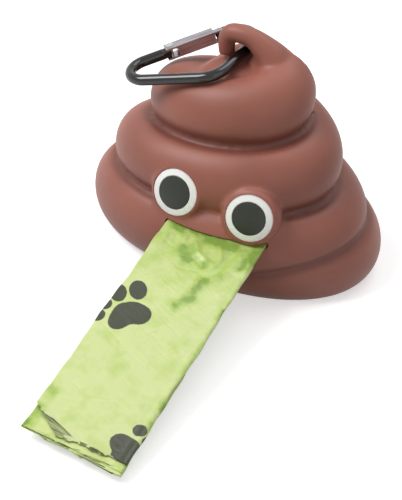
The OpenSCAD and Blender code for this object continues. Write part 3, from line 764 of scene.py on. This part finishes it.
def film(name, pale, middle, deep, ink):
    """Film whose colour follows the plies behind it, with painted shade by the slot and at the curled
    corner, in coordinates that lie on the strip. The packing creases are long thin lines at an angle to
    its width: noise in coordinates turned that way and stretched. They are drawn coarser than real
    ones, so that they show."""
    material, tree, shader = start_material(name, Roughness=0.34, IOR=1.5, Subsurface_Weight=0.25,
                                            Subsurface_Scale=1 * MM, Subsurface_Radius=(0.8, 1.0, 0.35))
    x, y, clung_and_shaded, distance = (add(tree, "Attribute", attribute_name=key).outputs["Fac"]
                             for key in ("across_mm", "along_mm", "cling_and_shade", "ink"))
    place = add(tree, "CombineXYZ", {"X": x, "Y": y})
    clouds = add(tree, "TexNoise", {"Vector": place}, {"Scale": 1 / CLOUD_MM, "Detail": 4})
    # How pale the film is, 0 to 1: by the clouds, less on the lines of clinging plies (with painted
    # shade at the slot and the curled corner), and less within 34 mm of the slot (more plies there, and
    # painted shade)
    pale_by = add(tree, "Math", {0: clouds}, {1: 0.9, 2: 0.12}, operation="MULTIPLY_ADD")
    patchy = ramp(tree, clouds, (0.36, WHITE), (0.62, QUARTER))
    clung_and_shaded = add(tree, "Math", {0: clung_and_shaded, 1: patchy}, operation="MULTIPLY")
    pale_by = add(tree, "Math", {0: clung_and_shaded, 2: pale_by}, {1: -0.55}, operation="MULTIPLY_ADD")
    # Within 34 mm of the slot the film darkens: partly more plies, partly painted shade
    near = add(tree, "MapRange", {"Value": y}, {"From Min": 34, "From Max": 2, "To Max": -0.28})
    pale_by = add(tree, "Math", {0: near, 1: pale_by}, operation="ADD")
    base = ramp(tree, pale_by, (0.0, linear(deep)), (0.28, linear(middle)), (0.6, linear(pale)))
    if ink:
        # The ink's edge moves by up to 0.3 mm with the speckles, and is soft over 0.24 mm
        speckle = add(tree, "TexNoise", {"Vector": place}, {"Scale": 1 / SPECKLE_MM, "Detail": 2})
        rough = add(tree, "Math", {0: speckle, 2: distance}, {1: 0.3}, operation="MULTIPLY_ADD")
        cover = add(tree, "MapRange", {"Value": rough}, {"From Min": 0.27, "From Max": 0.03, "To Max": 0.95})
        # A Mix node of colours has them at its sockets 6 and 7, and its result at output 2
        base = add(tree, "Mix", {0: cover, 6: base}, {7: linear(ink)}, data_type="RGBA").outputs[2]
    join(base, shader, "Base Color")
    # Height: a crinkle all over, and thin lines where the noise is near its middle, in patches
    slanted = add(tree, "Mapping", {"Vector": place}, {"Rotation": (0, 0, LINE_TURN), "Scale": (14, 1, 1)},
                  vector_type="TEXTURE")
    lines = add(tree, "TexNoise", {"Vector": slanted}, {"Scale": 1 / LINE_MM, "Detail": 3, "Roughness": 0.6})
    thin = ramp(tree, lines, (0.47, BLACK), (0.5, WHITE), (0.53, BLACK))
    where = ramp(tree, clouds, (0.42, BLACK), (0.56, WHITE))
    mask = add(tree, "Math", {0: thin, 1: where}, operation="MULTIPLY")
    crinkle = add(tree, "TexNoise", {"Vector": place}, {"Scale": 0.55, "Detail": 5, "Roughness": 0.65})
    height = add(tree, "Math", {0: mask, 2: crinkle}, {1: 0.6}, operation="MULTIPLY_ADD")
    bump = add(tree, "Bump", {"Height": height}, {"Strength": 0.6, "Distance": 0.18 * MM})
    join(bump, shader, "Normal")
    return material


printed_film = film("polyethylene_film_printed", "#cfdc98", "#b3ca6b", "#84a442", "#1b1d17")
plain_film = film("polyethylene_film_plain", "#cfe08f", "#a3c056", "#6f9231", None)

# %% Make the plies
# Ends and slants follow the torn end in the photograph; the two lower plies start where they show
strip = strip_ply("bag_strip_folded", STRIP_W / 2, 100.9, 0.0, 0.0, 0.5, 3, corner=9.5)
under = strip_ply("bag_ply_under", STRIP_W / 2 - 0.4, 102.9, -0.055, -0.5, 0.2, 11, step=0.6, from_y=-70)
lowest = strip_ply("bag_ply_lowest", STRIP_W / 2 - 0.1, 103.8, -0.08, -0.78, 0.2, 19, step=0.6, from_y=-60)
for piece, material in ((strip, printed_film), (under, plain_film), (lowest, plain_film)):
    piece.data.materials.append(material)
    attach(piece, "strip")
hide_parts("bag_strip")
print("strip:", len(strip.data.polygons), "faces")

# %% [markdown]
# ## The roll of bags
#
# The roll is the same film, wound on a cardboard tube. The wound plies show as soft rings of a
# deeper green about its axis, and its outside is slightly uneven from the folded film.

# %% Wound film and kraft board
ROLL_R, ROLL_LEN, CORE_OUT, ROLL_Y, ROLL_Z = 12.4, 54.0, 6.02, 7.0, 19.2
RING_MM = 13.82
wound, tree, shader = start_material("wound_polyethylene_film", Roughness=0.45, IOR=1.5,
                                     Subsurface_Weight=0.2, Subsurface_Scale=1 * MM)
place = add(tree, "TexCoord").outputs["Object"]
axis = add(tree, "Mapping", {"Vector": place}, {"Location": (0, -ROLL_Y * MM, -ROLL_Z * MM)})
# A wave texture of scale s repeats every pi / (10 s)
rings = add(tree, "TexWave", {"Vector": axis},
            {"Scale": np.pi / 10 / (RING_MM * MM), "Distortion": 1.5, "Detail": 2},
            wave_type="RINGS", rings_direction="X")
join(ramp(tree, rings.outputs["Fac"], (0.2, linear("#9bb34e")), (0.8, linear("#c8db7f"))),
     shader, "Base Color")
grain_bump(tree, shader, 3, 0.2)
board, tree, shader = start_material("kraft_board", Roughness=0.9, IOR=1.45)
join(mottle(tree, 1, 6, (0.3, "#a17f56"), (0.7, "#bd9a6e")), shader, "Base Color")
grain_bump(tree, shader, 0.6, 0.05)
print("roll materials:", wound.name, board.name)

# %% The roll
def roll_rows(steps=120):
    """A tube about x: out along the end, along the outside, in along the other end and back through
    the bore. The outside radius ripples by a fraction of a millimetre."""
    half, end, side, bore = ROLL_LEN / 2, 14, 40, 6
    x = np.concatenate([np.full(end, -half), np.linspace(-half, half, side), np.full(end, half),
                        np.linspace(half, -half, bore)])
    r = np.concatenate([np.linspace(CORE_OUT, ROLL_R, end), np.full(side, ROLL_R),
                        np.linspace(ROLL_R, CORE_OUT, end), np.full(bore, CORE_OUT)])
    a = np.linspace(0, 2 * np.pi, steps, endpoint=False)[:, None]
    outside = np.clip((r - 9) / 3, 0, 1)[None]
    ripple = 0.12 * np.sin(3 * a + x[None] / 6) + 0.06 * np.sin(11 * a - x[None] / 3)
    radius = r[None] - outside * (0.15 + ripple)
    return np.stack([x[None] + BASE_X + 0 * a, radius * np.cos(a) + ROLL_Y,
                     radius * np.sin(a) + ROLL_Z], -1) * MM


roll = link_piece("bag_roll_wound", skin("bag_roll_wound", roll_rows(), ring=True))
roll.data.set_sharp_from_angle(angle=np.radians(40))
roll.data.materials.append(wound)
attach(roll, "roll")
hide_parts("bag_roll")
print("roll:", len(roll.data.polygons), "faces")

# %% [markdown]
# ## The snap clip
#
# The hook is 4 mm steel rod, bent in one plane and painted gloss black, so it mirrors the lamps in
# narrow bright lines. It is a circle carried along arcs and straight lines. Its two ends are
# flattened: one carries the gate's rivet, the other the cross pin that the gate closes on. The gate
# is drawn aluminium, with lines along it, and the small parts are bright and zinc-plated steel.

# %% The clip's plane and its line
# The narrow end's arc, the back's end, the corner's arc, the side that hangs in the loop, the wide
# end's arc. Arcs are given by the radius of the rod's middle line
ROD_R, NARROW_R, BACK_END, CORNER_R, CORNER = 2.0, 6.8, 28.3, 8.8, np.radians(70)
SIDE_LEN, WIDE_R, PIVOT_AT, HANG_ALONG = 15.0, 8.7, 10.6, 11.0
HANG = np.array([-6.4, -0.4, 79.15])
CLIP_TURN = turn_matrix(7.3, 2) @ turn_matrix(-17.8, 1) @ turn_matrix(7.5, 0)
side_from = np.array([BACK_END + CORNER_R * np.sin(CORNER), CORNER_R - CORNER_R * np.cos(CORNER)])
side_dir = np.array([np.cos(CORNER), np.sin(CORNER)])
wide_c = side_from + SIDE_LEN * side_dir + WIDE_R * np.array([-np.sin(CORNER), np.cos(CORNER)])
# The gate lies on the outer line that touches both ends' arcs
span = wide_c - NARROW_R
span_len = np.hypot(*span)
GATE = np.arctan2(span[1], span[0]) + np.arcsin((WIDE_R - NARROW_R) / span_len)
gate_dir = np.array([np.cos(GATE), np.sin(GATE)])
gate_side = np.array([-np.sin(GATE), np.cos(GATE)])
gate_line = NARROW_R + NARROW_R * gate_side
gate_line_len = np.sqrt(span_len**2 - (WIDE_R - NARROW_R) ** 2)
pivot = gate_line + PIVOT_AT * gate_dir
hang_at = side_from + HANG_ALONG * side_dir
gate_world = CLIP_TURN @ [*gate_dir, 0]
GATE_YAW, GATE_PITCH = np.arctan2(gate_world[1], gate_world[0]), -np.arcsin(gate_world[2])
print("the gate lies at", round(float(np.degrees(GATE)), 1), "degrees to the clip's back")


def clip_points(p, q, n):
    """Points of the clip's plane (p along its back, q across, n square to both) at their place."""
    return placed(np.stack(np.broadcast_arrays(p - hang_at[0], q - hang_at[1], n), -1), CLIP_TURN, HANG)


def arc(centre, radius, start, stop, steps):
    """Points of an arc from one angle to another."""
    a = np.linspace(start, stop, steps)[:, None]
    return np.asarray(centre) + radius * np.concatenate([np.cos(a), np.sin(a)], 1)


# %% Painted rod and bare metals
black_paint, tree, shader = start_material("gloss_black_enamel", Roughness=0.12, IOR=1.5,
                                           Base_Color=linear("#080a09"), Coat_Weight=0.15,
                                           Coat_Roughness=0.06)
grain_bump(tree, shader, 2.5, 0.02, detail=2)


def metal(name, dark, light, roughness, line_mm, bump_mm=0.01):
    """Bare metal with drawing lines along the gate: noise in coordinates that are turned to the
    gate's line and stretched 25 times along it. The lines are drawn coarser than real ones, so
    that they show."""
    material, tree, shader = start_material(name, Metallic=1.0, Roughness=roughness)
    place = add(tree, "TexCoord").outputs["Object"]
    stretch = add(tree, "Mapping", {"Vector": place},
                  {"Rotation": (0, GATE_PITCH, GATE_YAW), "Scale": (25, 1, 1)}, vector_type="TEXTURE")
    lines = add(tree, "TexNoise", {"Vector": stretch}, {"Scale": 1 / (line_mm * MM), "Detail": 3})
    join(ramp(tree, lines, (0.3, linear(dark)), (0.7, linear(light))), shader, "Base Color")
    bump = add(tree, "Bump", {"Height": lines}, {"Strength": 0.4, "Distance": bump_mm * MM})
    join(bump, shader, "Normal")
    return material


gate_aluminium = metal("drawn_aluminium", "#8f8a90", "#c6c2c6", 0.3, 0.35, 0.02)
bright_steel = metal("bright_steel", "#b5b6b8", "#e2e3e4", 0.22, 0.3)
zinc_steel = metal("zinc_plated_steel", "#a3a7ab", "#c9ccd0", 0.35, 0.5)
print("metals:", gate_aluminium.name, bright_steel.name, zinc_steel.name)

# %% The hook's rod
# How far the rod reaches past the rivet's middle, and from the wide end towards the gate
PAST_PIVOT, NOSE_LEN = 0.2, 3.1
# The tongues: where they are fully flat, the change's length, what they lose in height and width,
# and the length of each tip's rounding
FLAT_PIVOT, FLAT_NOSE, FLAT_FADE, FLAT_DOWN, FLAT_IN = 2.4, 2.2, 1.2, 0.42, 0.3
TIP_PIVOT, TIP_NOSE = 0.9, 0.5


def hook_line():
    """From the gate's rivet round the narrow end, along the back, round the wide end to the nose."""
    return np.vstack([
        np.linspace(pivot + PAST_PIVOT * gate_dir, gate_line, 30)[:-1],
        arc([NARROW_R, NARROW_R], NARROW_R, GATE + np.pi / 2, 1.5 * np.pi, 40)[:-1],
        np.linspace([NARROW_R, 0], [BACK_END, 0], 24)[:-1],
        arc([BACK_END, CORNER_R], CORNER_R, -np.pi / 2, CORNER - np.pi / 2, 24)[:-1],
        np.linspace(side_from, side_from + SIDE_LEN * side_dir, 16)[:-1],
        arc(wide_c, WIDE_R, CORNER - np.pi / 2, GATE + np.pi / 2, 40)[:-1],
        np.linspace(gate_line + gate_line_len * gate_dir,
                    gate_line + (gate_line_len - NOSE_LEN) * gate_dir, 14)])


def rod_rows(steps=40):
    """Row i is the rod's section, square to its line: a circle that turns into a rounded flat
    tongue near both ends. A tip is rounded as a quarter circle is: sqrt(1 - way^2)."""
    middle = hook_line()
    along = np.gradient(middle, axis=0)
    along /= np.linalg.norm(along, axis=1)[:, None]
    out = np.stack([along[:, 1], -along[:, 0]], -1)
    place = np.concatenate([[0], np.cumsum(np.linalg.norm(np.diff(middle, axis=0), axis=1))])
    whole = place[-1]
    flat = (np.clip((FLAT_PIVOT - place) / FLAT_FADE + 1, 0, 1)
            + np.clip((place - whole + FLAT_NOSE) / FLAT_FADE + 1, 0, 1))
    first = np.clip(1 - place / TIP_PIVOT, 0, 1)
    last = np.clip((place - whole) / TIP_NOSE + 1, 0, 1)
    tip = np.sqrt(np.clip(1 - first**2, 0.03, 1)) * np.sqrt(np.clip(1 - last**2, 0.05, 1))
    a = np.linspace(0, 2 * np.pi, steps, endpoint=False)[None]
    power = (1 - 0.55 * flat)[:, None]
    c, s = np.cos(a), np.sin(a)
    in_plane = np.sign(c) * np.abs(c) ** power * ((ROD_R - FLAT_IN * flat) * tip)[:, None]
    square = np.sign(s) * np.abs(s) ** power * ((ROD_R - FLAT_DOWN * flat) * tip)[:, None]
    return clip_points(middle[:, :1] + out[:, :1] * in_plane, middle[:, 1:] + out[:, 1:] * in_plane, square)


hook = link_piece("clip_hook_rod", skin("clip_hook_rod", rod_rows()))
hook.data.materials.append(black_paint)
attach(hook, "clip")
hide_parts("clip_hook")
print("hook:", len(hook.data.polygons), "faces; clip length", round(wide_c[0] + WIDE_R + 2 * ROD_R, 1), "mm")

# %% [markdown]
# ## Frame pieces that keep their CAD shape
#
# The ring, the lid, the cradle, the spindle and the small metal parts have their true shape in
# the CAD model, so they stay and only get a finish. The plastic ones are moulded in polypropylene
# with a fine spark-eroded texture.

# %% Moulded polypropylene
def polypropylene(name, low, high, roughness=0.55):
    """Satin plastic whose colour drifts a little between two tones."""
    material, tree, shader = start_material(name, Roughness=roughness, IOR=1.49)
    join(mottle(tree, 12, 3, (0.35, low), (0.65, high)), shader, "Base Color")
    grain_bump(tree, shader, 0.35, 0.02, strength=0.5)
    return material


finishes = {
    "base_ring": polypropylene("polypropylene_dark_brown", "#55362e", "#5f3d35"),
    "base_lid": polypropylene("polypropylene_brown", "#66413a", "#714a41"),
    "roll_cradle": polypropylene("polypropylene_grey", "#858789", "#94969a"),
    "spindle": polypropylene("polypropylene_natural", "#d5d2ca", "#e0ddd5", 0.45),
    "roll_core": board,
    "lid_pivot_screw": zinc_steel,
    "clip_gate": gate_aluminium,
    "gate_rivet": bright_steel,
    "latch_pin": bright_steel,
    "gate_plunger": bright_steel,
    "gate_spring": bright_steel,
}
for name, material in finishes.items():
    for material_slot in nodes[name].material_slots:
        material_slot.material = material
print("finished nodes:", len(finishes))

# %% [markdown]
# ## Floor and light
#
# The photograph is a studio shot on white with soft light from above and the left. The floor is
# white where it is seen, which a little emission helps, and grey paper to the light, so that it
# keeps the object's shadow and doesn't glare. The world is the same: white where it is seen, and a
# pale light otherwise.

# %% Floor
def seen_rays(tree):
    """1 for rays from the camera, off a gloss or through glass, and 0 for others."""
    rays = add(tree, "LightPath").outputs
    seen = add(tree, "Math", {0: rays["Is Camera Ray"], 1: rays["Is Glossy Ray"]}, operation="MAXIMUM")
    return add(tree, "Math", {0: seen, 1: rays["Is Transmission Ray"]}, operation="MAXIMUM")


FLOOR_HALF, LIFT = 3.0, 0.5
floor_corners = FLOOR_HALF * np.array([[-1, -1, 0], [1, -1, 0], [1, 1, 0], [-1, 1, 0]])
floor_mesh = bpy.data.meshes.new("floor")
floor_mesh.from_pydata(floor_corners, [], [[0, 1, 2, 3]])
floor = link_piece("floor", floor_mesh, smooth=False)
paper, tree, shader = start_material("white_paper_floor", Roughness=0.9)
seen = seen_rays(tree)
join(ramp(tree, seen, (0.0, linear("#8c8a88")), (1.0, linear("#ececec"))), shader, "Base Color")
lift = add(tree, "Math", {0: seen}, {1: LIFT}, operation="MULTIPLY")
glow = add(tree, "Emission", {"Strength": lift}, {"Color": WHITE})
join(add(tree, "AddShader", {0: shader, 1: glow}), tree.nodes["Material Output"], "Surface")
floor_mesh.materials.append(paper)
print("floor:", 2 * FLOOR_HALF, "m wide")

# %% World and lamps
PALE = 0.26
LIT = np.array([0, 0, 30]) * MM
world = bpy.data.worlds.new("studio")
bpy.context.scene.world = world
world.use_nodes = True
tree = world.node_tree
background = tree.nodes["Background"]
background.inputs["Color"].default_value = WHITE
background.inputs["Strength"].default_value = PALE
white = add(tree, "Background", (), {"Color": WHITE, "Strength": 1.0})
mix = add(tree, "MixShader", {0: seen_rays(tree), 1: background, 2: white})
join(mix, tree.nodes["World Output"], "Surface")


def lamp(name, place, size, watts):
    """A square area lamp that looks at the body's middle. Places and sizes are in metres."""
    data = bpy.data.lights.new(name, "AREA")
    data.size = size
    data.energy = watts
    lamp_object = bpy.data.objects.new(name, data)
    bpy.context.scene.collection.objects.link(lamp_object)
    z = np.asarray(place, float) - LIT
    z /= np.linalg.norm(z)
    x = np.cross((0, 0, 1), z)
    x /= np.linalg.norm(x)
    stand(lamp_object, x, np.cross(z, x), z, place)


lamp("key", (-0.5, -0.35, 0.7), 0.45, 6.0)
lamp("fill", (0.75, -0.5, 0.45), 0.7, 1.0)
lamp("top", (0.1, 0.3, 0.95), 0.6, 3.0)
print("lamps:", sorted(light.name for light in bpy.data.lights))

# %% View settings
bpy.context.scene.view_settings.view_transform = "Standard"
